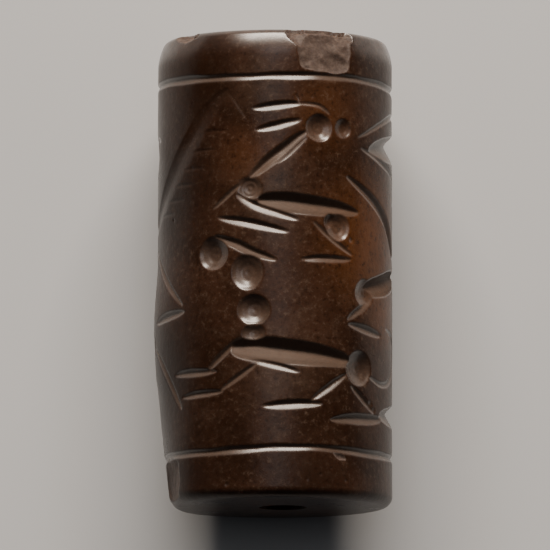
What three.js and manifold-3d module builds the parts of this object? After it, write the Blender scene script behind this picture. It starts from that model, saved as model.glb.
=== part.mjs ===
// A cylinder seal: a barrel of dark hard stone, bored from end to end, with a frieze sunk into its side
// between two border lines. The frieze has two goats that look back, two long-necked beasts with curled
// tails, a fawn, a winged figure, an eye and a spindle, all made of drilled pits and wheel-cut strokes.
//
// The seal lies along Y with its top end at +Y and rests on a narrow flat on its underside, at Z = 0.
// Places on the side are given in millimetres as "around", the distance round the stone from its front
// line (the line that faces +Z) and positive towards +X, and "up", the height above the bottom end.
import * as THREE from "three";
import { mergeVertices } from "three/addons/utils/BufferGeometryUtils.js";
import Module from "manifold-3d";

const wasm = await Module();
wasm.setup();

// Driving dimensions, in millimetres and degrees.
const LENGTH = 35;
const RADIUS = 8.77;
const RIM_ROUNDING = { bottom: 0.8, top: 0.35 };
const FLAT_WIDTH = 2.5; // the narrow flat on which the stone lies
const BORE_RADIUS = { mouth: 1.8, middle: 1.5 };
const BORE_SHIFT = { bottom: 0.6, top: -0.2 }; // the drill came in a little off centre at each end
const SWELL = { depth: 0.3, angle: -90, spread: 55, up: 13.2, reach: 5.5 }; // the fuller left side
const FOOT = { depth: 0.95, angle: -92, spread: 46, up: 9.5 }; // the worn foot below it
const SHOULDER = { depth: 0.58, up: 33, reach: 2, power: 1.9 }; // the top rim, rubbed down all round
const BORDER = {
  width: 0.75,
  depth: 0.22,
  bottom: { up: 3.4, sway: 0.16, swayTurn: 1.1, ripples: 4, ripple: 0.09, rippleTurn: 0.7 },
  top: { up: 31.3, sway: 0.14, swayTurn: 2.2, ripples: 3, ripple: 0.1, rippleTurn: -0.4 },
};
const STONE_COLOUR = 0x3b2419;
const STONE_ROUGHNESS = 0.32;

// How finely things are faceted.
const SIDES_OF_STONE = 56;
const SIDES_OF_BORE = 20;
const THIN_STROKE = 0.8; // strokes narrower than this are plain V-cuts
const WIDE_STROKE = 1.5;
const LIFT = 0.05; // cutters stand this far proud, so that their widest ring clears the surface

// How deep the engraver's tools went, and how far a stroke's keel lies towards its upper edge.
const PIT_DEPTH = 0.38; // as a share of a pit's radius
const STROKE_DEPTH = 0.3; // as a share of a stroke's width
const KEEL_SHIFT = 0.28;

const degrees = THREE.MathUtils.degToRad;
const AXIS_HEIGHT = Math.sqrt(RADIUS ** 2 - (FLAT_WIDTH / 2) ** 2);

/** 1 at the middle of a soft bump, 0 from its spread outwards. */
function bump(distance, spread) {
  const t = Math.min(1, Math.abs(distance) / spread);
  return (1 - t * t) ** 2;
}

/** The signed turn from one angle to another, between -180 and 180 degrees. */
function turnBetween(from, to) {
  return ((((to - from) % 360) + 540) % 360) - 180;
}

/** The stone's radius at an angle round it (radians from the front line) and a height up it. */
function stoneRadius(angle, up) {
  const turn = THREE.MathUtils.radToDeg(angle);
  const side = ({ angle: middle, spread }) => bump(turnBetween(middle, turn), spread);
  const swell = SWELL.depth * side(SWELL) * bump(up - SWELL.up, SWELL.reach);
  const lowness = Math.max(0, 1 - up / FOOT.up);
  const foot = FOOT.depth * side(FOOT) * lowness ** 1.15;
  const highness = Math.max(0, (up - SHOULDER.up) / SHOULDER.reach);
  return RADIUS + swell - foot - SHOULDER.depth * highness ** SHOULDER.power;
}

/** Bends a geometry whose X is around, Y is up and Z is the height above the surface round the stone. */
function wrap(geometry) {
  const place = geometry.getAttribute("position");
  for (let i = 0; i < place.count; i++) {
    const angle = place.getX(i) / RADIUS;
    const up = place.getY(i);
    const reach = stoneRadius(angle, up) + place.getZ(i);
    place.setXYZ(i, reach * Math.sin(angle), up - LENGTH / 2, AXIS_HEIGHT + reach * Math.cos(angle));
  }
  return geometry;
}

/** A closed geometry as a solid: shared vertices are merged, and faces that have collapsed are dropped. */
function solidOf(geometry) {
  geometry.deleteAttribute("normal");
  geometry.deleteAttribute("uv");
  const merged = mergeVertices(geometry, 1e-4);
  const corners = merged.index.array;
  const kept = [];
  for (let i = 0; i < corners.length; i += 3) {
    const [a, b, c] = corners.slice(i, i + 3);
    if (a !== b && b !== c && a !== c) kept.push(a, b, c);
  }
  const mesh = new wasm.Mesh({
    numProp: 3,
    vertProperties: merged.getAttribute("position").array,
    triVerts: new Uint32Array(kept),
  });
  return new wasm.Manifold(mesh);
}

/** A solid as a geometry with flat faces. */
function geometryOf(solid) {
  const mesh = solid.getMesh();
  const geometry = new THREE.BufferGeometry();
  geometry.setAttribute("position", new THREE.BufferAttribute(mesh.vertProperties, 3));
  geometry.setIndex(new THREE.BufferAttribute(mesh.triVerts, 1));
  geometry.computeVertexNormals();
  return geometry;
}

// ---- The stone ----

/** A rim's quarter round, as points from the flat end to the side. */
function rimRound(end, way, rounding) {
  return [0, 45, 90].map((turn) => {
    const back = rounding * (1 - Math.sin(degrees(turn)));
    const along = rounding * (1 - Math.cos(degrees(turn)));
    return new THREE.Vector2(RADIUS - back, end + way * along);
  });
}

/** A border line's V-cut, as three points of the side's profile. */
function borderCut(line) {
  const half = BORDER.width / 2;
  return [
    new THREE.Vector2(RADIUS, line.up - half),
    new THREE.Vector2(RADIUS - BORDER.depth, line.up),
    new THREE.Vector2(RADIUS, line.up + half),
  ];
}

/** How far a border line strays from its height as the engraver's hand wavers round the stone. */
function waver(line, angle) {
  const ripple = line.ripple * Math.sin(line.ripples * angle + line.rippleTurn);
  return line.sway * Math.sin(angle + line.swayTurn) + ripple;
}

/** The barrel: a lathe-turned profile with rounded rims and border lines, out of round by swell and wear. */
function barrel() {
  const { bottom, top } = BORDER;
  const profile = [
    new THREE.Vector2(0, 0),
    ...rimRound(0, 1, RIM_ROUNDING.bottom),
    ...borderCut(bottom),
    ...[FOOT.up, SWELL.up, SWELL.up + SWELL.reach].map((up) => new THREE.Vector2(RADIUS, up)),
    ...borderCut(top),
    ...[0.2, 0.55].map((share) => new THREE.Vector2(RADIUS, SHOULDER.up + share * SHOULDER.reach)),
    ...rimRound(LENGTH, -1, RIM_ROUNDING.top).reverse(),
    new THREE.Vector2(0, LENGTH),
  ];
  const geometry = new THREE.LatheGeometry(profile, SIDES_OF_STONE);
  const place = geometry.getAttribute("position");
  for (let i = 0; i < place.count; i++) {
    const [x, up, z] = [place.getX(i), place.getY(i), place.getZ(i)];
    const angle = Math.atan2(x, z);
    const share = stoneRadius(angle, up) / RADIUS;
    const line = [bottom, top].find((border) => Math.abs(up - border.up) < BORDER.width);
    const height = line ? up + waver(line, angle) : up;
    place.setXYZ(i, x * share, height - LENGTH / 2, AXIS_HEIGHT + z * share);
  }
  return solidOf(geometry);
}

/** The bore, drilled from both ends, so that it narrows to the middle and leans a little. */
function bore() {
  const past = 1;
  const profile = [
    new THREE.Vector2(0, -past),
    new THREE.Vector2(BORE_RADIUS.mouth, -past),
    new THREE.Vector2(BORE_RADIUS.mouth, 0),
    new THREE.Vector2(BORE_RADIUS.middle, LENGTH / 2),
    new THREE.Vector2(BORE_RADIUS.mouth, LENGTH),
    new THREE.Vector2(BORE_RADIUS.mouth, LENGTH + past),
    new THREE.Vector2(0, LENGTH + past),
  ];
  const geometry = new THREE.LatheGeometry(profile, SIDES_OF_BORE);
  const place = geometry.getAttribute("position");
  for (let i = 0; i < place.count; i++) {
    const share = THREE.MathUtils.clamp(place.getY(i) / LENGTH, 0, 1);
    place.setX(i, place.getX(i) + THREE.MathUtils.lerp(BORE_SHIFT.bottom, BORE_SHIFT.top, share));
  }
  geometry.translate(0, -LENGTH / 2, AXIS_HEIGHT);
  return solidOf(geometry);
}

/** What is taken off below the resting flat. */
function restingFlat() {
  const depth = 2;
  const block = new THREE.BoxGeometry(2 * RADIUS, LENGTH + 2, depth);
  block.translate(0, 0, -depth / 2);
  return solidOf(block);
}

// ---- The engraver's cuts ----

/** A drilled pit, round or a little longer one way. */
function pit(centre, radius, depth = PIT_DEPTH * radius, tall = radius) {
  const [sides, rings] = radius > 0.95 ? [12, 6] : [8, 4];
  const geometry = new THREE.SphereGeometry(1, sides, rings);
  geometry.rotateX(Math.PI / 2);
  geometry.scale(radius, tall, depth);
  geometry.translate(centre.x, centre.y, LIFT);
  return solidOf(wrap(geometry));
}

/**
 * A wheel-cut stroke along a path: pointed at both ends, widest and deepest at its belly, and steeper on its
 * upper side. A lean over 1 moves the belly towards the path's first point, and under 1 towards its last.
 */
function stroke(path, width, lean = 1, depth = STROKE_DEPTH * width) {
  const curve = path.length === 2 ? new THREE.LineCurve(...path) : new THREE.SplineCurve(path);
  const isThin = width < THIN_STROKE;
  const inner = (isThin ? 2 : 4) + Math.min(4, path.length - 2);
  const profile = [new THREE.Vector2(0, -1)];
  for (let i = 0; i < inner; i++) {
    const turn = Math.PI * ((i + 0.5) / inner);
    profile.push(new THREE.Vector2(Math.sin(turn), -Math.cos(turn)));
  }
  profile.push(new THREE.Vector2(0, 1));
  const sides = isThin ? 4 : width < WIDE_STROKE ? 6 : 8;
  const geometry = new THREE.LatheGeometry(profile, sides);
  const place = geometry.getAttribute("position");
  for (let i = 0; i < place.count; i++) {
    const share = ((place.getY(i) + 1) / 2) ** lean;
    const centre = curve.getPoint(share);
    const along = curve.getTangent(THREE.MathUtils.clamp(share, 0.01, 0.99));
    const keel = KEEL_SHIFT * along.x * Math.max(0, -place.getZ(i));
    const across = ((place.getX(i) - keel) * width) / 2;
    const height = place.getZ(i) * depth + LIFT;
    place.setXYZ(i, centre.x + along.y * across, centre.y - along.x * across, height);
  }
  return solidOf(wrap(geometry));
}

/** A figure's own frame: "along" runs from its anchor the way it faces, "rise" runs up the stone. */
function figureFrame(anchor, facing) {
  return (along, rise) => new THREE.Vector2(anchor.around + facing * along, anchor.up + rise);
}

// ---- The figures ----

/** A goat that looks back over its rump. Its frame starts at the shoulder and faces the rump. */
function goat(g) {
  const at = figureFrame(g.shoulder, g.facing);
  const [headAlong, headRise] = g.head;
  const nearHead = ([along, rise]) => at(headAlong + along, headRise + rise);
  const cuts = [
    pit(at(0, 0), g.radii.shoulder),
    pit(at(...g.haunch), g.radii.haunch),
    pit(at(...g.head), g.radii.head),
    pit(nearHead(g.muzzle), g.radii.muzzle),
    stroke([nearHead([-0.9, -0.3]), at(...g.neckFoot)], g.widths.neck),
    stroke([at(...g.neckFoot), at(...g.neckTail)], 0.5),
    stroke([at(...g.chest), at(...g.loin)], g.widths.body, g.bodyLean),
    stroke(g.hock.map((point) => at(...point)), 0.55),
    stroke(g.hindHoof.map((point) => at(...point)), g.widths.hindHoof),
  ];
  for (const [along, rise, radius, depth] of g.touches) cuts.push(pit(at(along, rise), radius, depth));
  for (const horn of g.horns) cuts.push(stroke(horn.map(nearHead), g.widths.horn));
  for (const { path, width } of g.extras) cuts.push(stroke(path.map((point) => at(...point)), width));
  return cuts;
}

/** A long-necked beast that crouches, with a neck of drilled beads, folded legs and a curled tail. */
function beast(b) {
  const at = figureFrame(b.shoulder, b.facing);
  const path = (points) => points.map((point) => at(...point));
  const bead = ([along, rise, radius, tall]) => pit(at(along, rise), radius, PIT_DEPTH * radius, tall);
  const cuts = b.neck.map(bead);
  cuts.push(
    pit(at(...b.head), b.radii.head),
    pit(at(...b.haunch), b.radii.haunch),
    stroke(path(b.brow), b.widths.brow, 1.2),
    stroke(path(b.body), b.widths.body, 1.25),
    stroke(path(b.belly), b.widths.belly),
    stroke(path(b.tail), 0.62),
  );
  for (const { shank, hoof, widths } of b.legs) {
    cuts.push(stroke(path(shank), widths[0]), stroke(path(hoof), widths[1]));
  }
  return cuts;
}

/** A fawn, with one long ear along its back. Its frame starts at the shoulder and faces the rump. */
function fawn() {
  const at = figureFrame({ around: 14.95, up: 17.9 }, -1);
  return [
    pit(at(0, 0), 0.97),
    pit(at(7.35, -2.4), 1.05),
    pit(at(-2.15, 5.6), 1.0),
    pit(at(-3.75, 5.95), 0.6),
    stroke([at(-0.6, 5.3), at(2.1, 4.7)], 0.45),
    stroke([at(-1.6, 4.2), at(2.2, -0.45)], 1.0),
    stroke([at(1.75, 0.4), at(2.7, 1.6), at(4.6, 3.5), at(9.26, 6.2)], 1.15),
    stroke([at(0.6, -0.6), at(8.3, -2.5)], 1.9, 1.15),
    stroke([at(-2.15, -2.4), at(-0.1, -1.55)], 0.55),
    stroke([at(-1.45, -2.8), at(1.35, -3.5)], 0.45),
    stroke([at(6.3, -2.7), at(9.15, -4.6)], 0.75),
    stroke([at(9.1, -4.9), at(5.1, -5.5)], 0.8),
  ];
}

/** One wing of the winged figure: a broad cut, and the feathers that hang level from its lower edge. */
function wing(at, way, spine, feathers) {
  const curve = new THREE.SplineCurve(spine.map(([along, rise]) => at(way * along, rise)));
  const cuts = [stroke(curve.points, WING_WIDTH, 1, WING_DEPTH)];
  for (let i = 0; i < feathers.count; i++) {
    const share = THREE.MathUtils.lerp(feathers.from, feathers.to, i / (feathers.count - 1));
    const root = curve.getPoint(share);
    const end = root.clone().add(new THREE.Vector2(way * feathers.length, 0));
    cuts.push(stroke([root, end], 0.36));
  }
  return cuts;
}

/** The winged figure: spread feathered wings, a great head, two legs and a bird's tail. */
function wingedFigure() {
  const at = figureFrame({ around: -14.3, up: 20.7 }, 1);
  const cuts = [
    pit(at(0, 0), 0.97),
    pit(at(0.6, 5.75), 1.32, 0.55, 1.5),
    stroke([at(2.6, 6.6), at(0.9, 7.0)], 0.42),
    stroke([at(-2.1, 6.4), at(-0.2, 7.0)], 0.42),
    stroke([at(0.7, 2.6), at(0.2, 0.5)], 0.38),
    pit(at(0.9, -8.6), 1.05),
    stroke([at(1.8, -8.85), at(3.75, -10.75), at(6.25, -13.9)], 0.75),
    stroke([at(1.0, -1.5), at(6.5, -6.15)], 0.75),
    stroke([at(6.7, -6.6), at(2.3, -7.1)], 0.85),
    stroke([at(-1.2, -1.0), at(-6.0, -4.8)], 0.75),
    stroke([at(-0.2, -6.8), at(-5.9, -5.7)], 0.85),
    stroke([at(10.7, 9.6), at(12.3, 7.3)], 0.4),
  ];
  for (const side of [0.2, 0.6]) cuts.push(stroke([at(side, -1.6), at(side + 0.05, -7.2)], 0.34));
  cuts.push(...wing(at, 1, LEFT_WING_SPINE, { count: 6, from: 0.16, to: 0.66, length: 3.1 }));
  cuts.push(...wing(at, -1, RIGHT_WING_SPINE, { count: 8, from: 0.2, to: 0.98, length: 2.5 }));
  return cuts;
}

/** The eye: a deep spindle between two thin lids. */
function eye() {
  const at = figureFrame({ around: 13.1, up: 26.75 }, 1);
  return [
    stroke([at(4.8, 0.5), at(-5.0, -0.5)], 2.2),
    stroke([at(5.8, 0.8), at(2.6, 2.3), at(-1.2, 2.3), at(-6.3, 0.3)], 0.62),
    stroke([at(5.9, -0.1), at(1.6, -1.9)], 0.48),
    stroke([at(0.1, -2.2), at(-6.0, -0.45)], 0.6),
  ];
}

/** The spindle below the fawn, with a slip of the wheel under it. */
function spindle() {
  const at = figureFrame({ around: 13.8, up: 6.7 }, 1);
  return [stroke([at(4.3, 0.3), at(-4.3, -0.3)], 1.8), stroke([at(3.0, -1.75), at(0.5, -1.3)], 0.42)];
}

const WING_WIDTH = 1.9;
const WING_DEPTH = 0.2;
const LEFT_WING_SPINE = [[0.8, -0.3], [3.4, 1.7], [6.0, 4.5], [8.8, 7.8], [10.8, 9.8]];
const RIGHT_WING_SPINE = [[0.7, -0.3], [3.1, 1.6], [5.3, 4.0], [7.4, 6.5], [9.7, 9.1]];

const FRONT_GOAT = {
  shoulder: { around: -1.92, up: 23.0 },
  facing: 1,
  head: [5.28, 4.6],
  muzzle: [2.1, 0.04],
  haunch: [6.9, -2.75],
  neckFoot: [-0.05, 0.75],
  neckTail: [-3.0, -1.5],
  chest: [0.6, -0.95],
  loin: [8.85, -1.6],
  bodyLean: 1.5,
  hock: [[4.75, -2.4], [6.3, -3.7], [8.25, -4.85]],
  hindHoof: [[3.8, -5.3], [8.15, -5.15]],
  horns: [
    [[-5.1, 1.35], [-1.3, 1.75]],
    [[-4.8, -0.3], [-1.35, 0.5]],
  ],
  radii: { head: 1.1, muzzle: 0.76, shoulder: 0.96, haunch: 1.08 },
  widths: { neck: 1.15, body: 1.7, horn: 0.78, hindHoof: 0.72 },
  touches: [[6.3, -2.4, 0.64, 0.42]], // the haunch's second touch of the drill
  extras: [
    { path: [[3.6, 6.35], [5.2, 6.25], [6.2, 5.6]], width: 0.42 }, // the front horn's root
    { path: [[4.4, 3.85], [2.1, 1.8]], width: 0.5 }, // the throat
    { path: [[-1.0, -0.45], [0.55, -1.35], [3.7, -2.4]], width: 0.85 }, // the breast
    { path: [[-2.6, -2.1], [3.0, -3.3]], width: 0.84 }, // the forelegs
  ],
};

const BACK_GOAT = {
  shoulder: { around: 27.8, up: 21.6 },
  facing: -1,
  head: [3.05, 5.4],
  muzzle: [2.8, 0.3],
  haunch: [6.85, -3.2],
  neckFoot: [-1.1, -0.2],
  neckTail: [-3.0, -2.0],
  chest: [0.1, -0.6],
  loin: [7.4, -3.1],
  bodyLean: 1.1,
  hock: [[7.2, -5.0], [8.7, -6.2]],
  hindHoof: [[2.3, -7.3], [8.6, -6.3]],
  horns: [
    [[0.95, 1.1], [-1.5, 2.3], [-3.65, 2.9]],
    [[-0.75, 0.75], [-5.4, -0.7]],
  ],
  radii: { head: 1.05, muzzle: 0.66, shoulder: 0.9, haunch: 1.22 },
  widths: { neck: 1.25, body: 2.0, horn: 0.78, hindHoof: 0.85 },
  touches: [],
  extras: [{ path: [[7.5, -2.5], [8.95, -2.8]], width: 0.5 }], // the tail
};

const FRONT_BEAST = {
  shoulder: { around: -1.6, up: 12.15 },
  facing: -1,
  head: [3.25, 6.1],
  neck: [[0, 0, 0.9, 0.78], [-0.02, 1.78, 1.28, 1.2], [0.5, 4.62, 1.24, 1.4]],
  haunch: [-8.6, -2.35],
  brow: [[3.2, 7.3], [1.5, 6.75], [0.1, 6.05], [-1.75, 5.4]],
  body: [[1.8, -1.05], [-2.5, -1.38], [-7.9, -1.95]],
  belly: [[0.35, -1.95], [-3.5, -2.9]],
  tail: [[-9.7, -2.95], [-11.6, -3.35], [-13.6, -2.8], [-14.85, -1.3], [-14.5, 0.3], [-12.4, 0.95]],
  radii: { head: 1.28, haunch: 1.34 },
  widths: { brow: 0.9, body: 2.1, belly: 0.7 },
  legs: [
    { shank: [[0.9, -0.2], [3.75, -2.7]], hoof: [[2.85, -2.75], [7.3, -2.75]], widths: [0.7, 0.76] },
    { shank: [[-0.35, -2.2], [2.65, -4.25]], hoof: [[2.3, -4.25], [6.4, -4.5]], widths: [0.62, 0.7] },
    { shank: [[-7.4, -2.85], [-4.3, -5.0]], hoof: [[-0.6, -5.45], [-5.3, -5.2]], widths: [0.72, 0.86] },
    { shank: [[-7.7, -3.7], [-10.4, -5.65]], hoof: [[-5.85, -6.35], [-11.6, -6.0]], widths: [0.66, 1.0] },
  ],
};

const BACK_BEAST = {
  shoulder: { around: -24.7, up: 12.2 },
  facing: 1,
  head: [2.75, 6.5],
  neck: [[0, 0, 1.2, 1.15], [-0.5, 2.4, 1.35, 1.25], [-0.8, 5.1, 1.25, 1.3]],
  haunch: [-9.35, -2.2],
  brow: [[3.9, 7.6], [1.6, 7.5], [-1.0, 6.5], [-3.5, 5.3]],
  body: [[-0.2, -0.5], [-4.4, -1.1], [-8.8, -2.1]],
  belly: [[-1.8, -1.6], [-6.4, -2.9]],
  tail: [[-10.6, -1.9], [-12.0, -2.1], [-13.4, -2.0], [-14.4, -0.5], [-14.0, 0.8], [-12.6, 1.4]],
  radii: { head: 1.25, haunch: 1.38 },
  widths: { brow: 0.75, body: 2.3, belly: 0.8 },
  legs: [
    { shank: [[1.1, -1.1], [3.6, -3.4]], hoof: [[7.4, -4.0], [2.7, -3.9]], widths: [0.7, 0.78] },
    { shank: [[-2.3, -2.6], [0.6, -5.5]], hoof: [[7.1, -6.1], [1.3, -5.9]], widths: [0.62, 1.05] },
    { shank: [[-8.2, -3.9], [-5.4, -5.2]], hoof: [[-1.4, -5.65], [-5.7, -5.6]], widths: [0.6, 0.7] },
    { shank: [[-8.7, -3.8], [-10.7, -5.7]], hoof: [[-5.0, -6.9], [-10.6, -6.1]], widths: [0.62, 0.9] },
  ],
};

// ---- Wear ----

/** A flake lost from the stone: a shallow faceted scar, long one way and turned on the surface. */
function flake({ around, up, long, wide, deep, turn }) {
  const isLarge = long > 1.3;
  const geometry = new THREE.IcosahedronGeometry(1, isLarge ? 1 : 0);
  geometry.scale(long, wide, deep);
  geometry.rotateZ(degrees(turn));
  geometry.translate(around, up, LIFT);
  return solidOf(wrap(geometry));
}

const FLAKES = [
  // The large scar on the top rim, with a small one at either side of it.
  { around: 3.95, up: 33.5, long: 2.3, wide: 1.8, deep: 0.45, turn: 0 },
  { around: 5.5, up: 34.75, long: 1.1, wide: 0.75, deep: 0.5, turn: -20 },
  { around: 1.7, up: 34.75, long: 0.8, wide: 1.05, deep: 0.5, turn: 25 },
  { around: -8.4, up: 35.0, long: 1.7, wide: 0.6, deep: 0.5, turn: -10 },
  { around: -10.5, up: 1.2, long: 2.5, wide: 2.1, deep: 0.36, turn: 80 },
  { around: 5.1, up: 3.15, long: 0.7, wide: 0.3, deep: 0.22, turn: -25 },
  { around: 24.2, up: 1.3, long: 1.6, wide: 1.0, deep: 0.5, turn: -15 },
];

const cuts = [
  bore(),
  restingFlat(),
  ...goat(FRONT_GOAT),
  ...goat(BACK_GOAT),
  ...beast(FRONT_BEAST),
  ...beast(BACK_BEAST),
  ...fawn(),
  ...wingedFigure(),
  ...eye(),
  ...spindle(),
  ...FLAKES.map(flake),
];

const carved = cuts.reduce((stone, cut) => stone.subtract(cut), barrel());

const sealBody = new THREE.Mesh(
  geometryOf(carved),
  new THREE.MeshStandardMaterial({
    color: STONE_COLOUR,
    roughness: STONE_ROUGHNESS,
    metalness: 0,
  }),
);
sealBody.name = "seal_body";

const seal = new THREE.Group();
seal.add(sealBody);

export default seal;
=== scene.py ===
"""A cylinder seal of dark brown stone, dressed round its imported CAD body.

The seal lies along Y with its top end at +Y, on a narrow flat at Z = 0. Places on its side are in
millimetres: "around" is the distance round the stone from its front line, which faces +Z, and is positive
towards +X, and "up" is the height above the bottom end. The blank is turned by Geometry Nodes and then cut as
the engraver cut it, with a ball-ended drill and a wheel. Wear and breaks come last.
"""
import logging
import math
from collections.abc import Iterable, Sequence
from dataclasses import dataclass, field, replace
from enum import Enum
from typing import Any

import bpy
import numpy as np
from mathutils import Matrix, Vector


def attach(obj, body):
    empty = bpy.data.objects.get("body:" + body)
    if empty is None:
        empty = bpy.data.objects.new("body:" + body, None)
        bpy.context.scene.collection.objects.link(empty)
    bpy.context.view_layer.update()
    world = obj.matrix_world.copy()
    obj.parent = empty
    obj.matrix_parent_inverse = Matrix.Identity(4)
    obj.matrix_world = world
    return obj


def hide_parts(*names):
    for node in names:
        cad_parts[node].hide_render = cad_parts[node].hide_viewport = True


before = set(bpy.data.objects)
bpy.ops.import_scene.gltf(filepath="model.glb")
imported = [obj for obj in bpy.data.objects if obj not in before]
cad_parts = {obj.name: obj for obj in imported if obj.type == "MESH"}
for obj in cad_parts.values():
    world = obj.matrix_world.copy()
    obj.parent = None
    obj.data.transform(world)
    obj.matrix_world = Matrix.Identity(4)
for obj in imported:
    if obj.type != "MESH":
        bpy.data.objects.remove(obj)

MM = 0.001

Place = tuple[float, float]
Path = tuple[Place, ...]
Colour = tuple[float, float, float, float]
Array = np.ndarray

log = logging.getLogger("cylinder_seal")


# ---- Small helpers ----


def bump(distance: Array, spread: float) -> Array:
    """Gives 1 at the middle of a soft bump and 0 from its spread outwards."""
    share = np.minimum(1.0, np.abs(distance) / spread)
    return (1 - share**2) ** 2


def smooth_step(value: Array, low: float, high: float) -> Array:
    """Rises smoothly from 0 at low to 1 at high.

    Args:
        value: the values to judge.
        low: where the rise starts.
        high: where the rise ends; below low, the step falls instead.

    Returns:
        A value from 0 to 1 for each input.
    """
    share = np.clip((value - low) / (high - low), 0.0, 1.0)
    return share * share * (3 - 2 * share)


class Way(Enum):
    """Which way a figure's own frame runs round the stone."""

    RIGHT = 1
    LEFT = -1

    def place(self, anchor: Place, point: Place) -> Place:
        """Moves a point of a figure's own frame, which starts at its anchor, onto the stone."""
        return anchor[0] + self.value * point[0], anchor[1] + point[1]


# ---- The stone ----


@dataclass(frozen=True)
class Stone:
    """The turned stone's sizes, in millimetres and degrees."""

    length: float = 35.0
    radius: float = 8.77
    rim: float = 0.8
    top_rim: float = 0.35
    flat_width: float = 2.5
    bore_mouth: float = 1.8
    bore_middle: float = 1.5
    bore_shift_bottom: float = 0.6
    bore_shift_top: float = -0.2
    swell_depth: float = 0.3
    swell_turn: float = -90.0
    swell_spread: float = 55.0
    swell_up: float = 13.2
    swell_reach: float = 5.5
    foot_depth: float = 0.95
    foot_turn: float = -92.0
    foot_spread: float = 46.0
    foot_up: float = 9.5
    foot_power: float = 1.15
    shoulder_depth: float = 0.58
    shoulder_up: float = 33.0
    shoulder_reach: float = 2.0
    shoulder_power: float = 1.9

    @property
    def axis_height(self) -> float:
        """How high the stone's axis lies above the table on which its flat rests."""
        return math.sqrt(self.radius**2 - (self.flat_width / 2) ** 2)

    @property
    def girth(self) -> float:
        """The distance once round the stone."""
        return 2 * math.pi * self.radius

    def radius_at(self, angle: Array, up: Array) -> Array:
        """Gives the stone's radius: it swells and is worn on the left, and is rubbed down at the top rim.

        Args:
            angle: angles round the stone from its front line, in radians.
            up: heights above the bottom end.

        Returns:
            The radius at each place.
        """
        turn = np.degrees(angle)

        def beside(middle: float, spread: float) -> Array:
            """A bump round the stone."""
            return bump((turn - middle + 180) % 360 - 180, spread)

        swell = self.swell_depth * beside(self.swell_turn, self.swell_spread)
        swell *= bump(up - self.swell_up, self.swell_reach)
        lowness = np.maximum(0.0, 1 - up / self.foot_up) ** self.foot_power
        foot = self.foot_depth * beside(self.foot_turn, self.foot_spread) * lowness
        highness = np.maximum(0.0, (up - self.shoulder_up) / self.shoulder_reach) ** self.shoulder_power
        return self.radius + swell - foot - self.shoulder_depth * highness

    def bore_shift(self, up: Array) -> Array:
        """How far the bore's middle strays along X at each height."""
        return self.bore_shift_bottom + (self.bore_shift_top - self.bore_shift_bottom) * up / self.length


# ---- The engraver's cuts ----

# How deep the tools went, as a share of a pit's radius and of a stroke's width, and how far a stroke's keel
# lies towards its upper lip. A cut's surface is fully tooled from the lip depth on, in millimetres.
PIT_DEPTH = 0.38
STROKE_DEPTH = 0.3
KEEL_SHIFT = 0.28
LIP_DEPTH = 0.06


def wheel_profile(across: Array, shift: float | Array, keel: float = 1.2) -> Array:
    """Gives the section of a wheel-cut groove: steep on its upper side, and easing out to its lower lip.

    Args:
        across: places across it, from -1 at its lower lip to 1 at its upper one.
        shift: how far its keel lies towards the upper lip.
        keel: how sharp its bottom is: 1 is a plain V, and 2 is round.

    Returns:
        The depth, from 0 at the lips to 1 at the keel.
    """
    off = across - shift
    upper = 1 - np.clip(off / (1 - shift), 0, 1) ** keel
    lower = (1 - np.clip(-off / (1 + shift), 0, 1) ** (0.8 * keel)) ** 1.3
    return np.where(off > 0, upper, lower)


class Cut:
    """Something sunk into the side of the stone.

    The tool left its surface satin where dull is up to about 0.6, and matt where it is 1.
    """

    dull: float = 0.6

    def placed(self, anchor: Place, way: Way) -> "Cut":
        """The same cut, moved from a figure's own frame onto the stone."""
        raise NotImplementedError

    def reach(self) -> tuple[Place, Place]:
        """The lowest and highest (around, up) that the cut touches."""
        raise NotImplementedError

    def depth_at(self, around: Array, up: Array) -> Array:
        """Gives the cut's depth.

        Args:
            around: distances round the stone.
            up: heights up the stone.

        Returns:
            The depth at each place, or 0 outside the cut.
        """
        raise NotImplementedError


@dataclass(frozen=True)
class Pit(Cut):
    """A pit of the ball-ended drill, round or a little longer one way."""

    centre: Place
    radius: float
    tall: float | None = None
    depth: float | None = None
    rings: float = 0.012
    dull: float = 0.5

    def placed(self, anchor: Place, way: Way) -> "Pit":
        """The same pit, moved from a figure's own frame onto the stone."""
        return replace(self, centre=way.place(anchor, self.centre))

    def reach(self) -> tuple[Place, Place]:
        """The lowest and highest (around, up) that the pit touches."""
        tall = self.tall or self.radius
        (around, up), wide = self.centre, self.radius
        return (around - wide, up - tall), (around + wide, up + tall)

    def depth_at(self, around: Array, up: Array) -> Array:
        """Gives the depth of a cap of the drill's ball, with the faint rings that the drill left."""
        tall = self.tall or self.radius
        steepness = (self.depth or PIT_DEPTH * self.radius) / self.radius
        off = np.hypot((around - self.centre[0]) / self.radius, (up - self.centre[1]) / tall)
        ball = (1 + steepness**2) / (2 * steepness)
        cap = np.sqrt(np.maximum(ball**2 - off**2, 0.0)) - (ball - steepness)
        rings = self.rings * np.cos(off * 15.0) * smooth_step(off, 0.95, 0.7)
        return np.where(off < 1, np.maximum(cap * self.radius, 0.0) + rings, 0.0)


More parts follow.
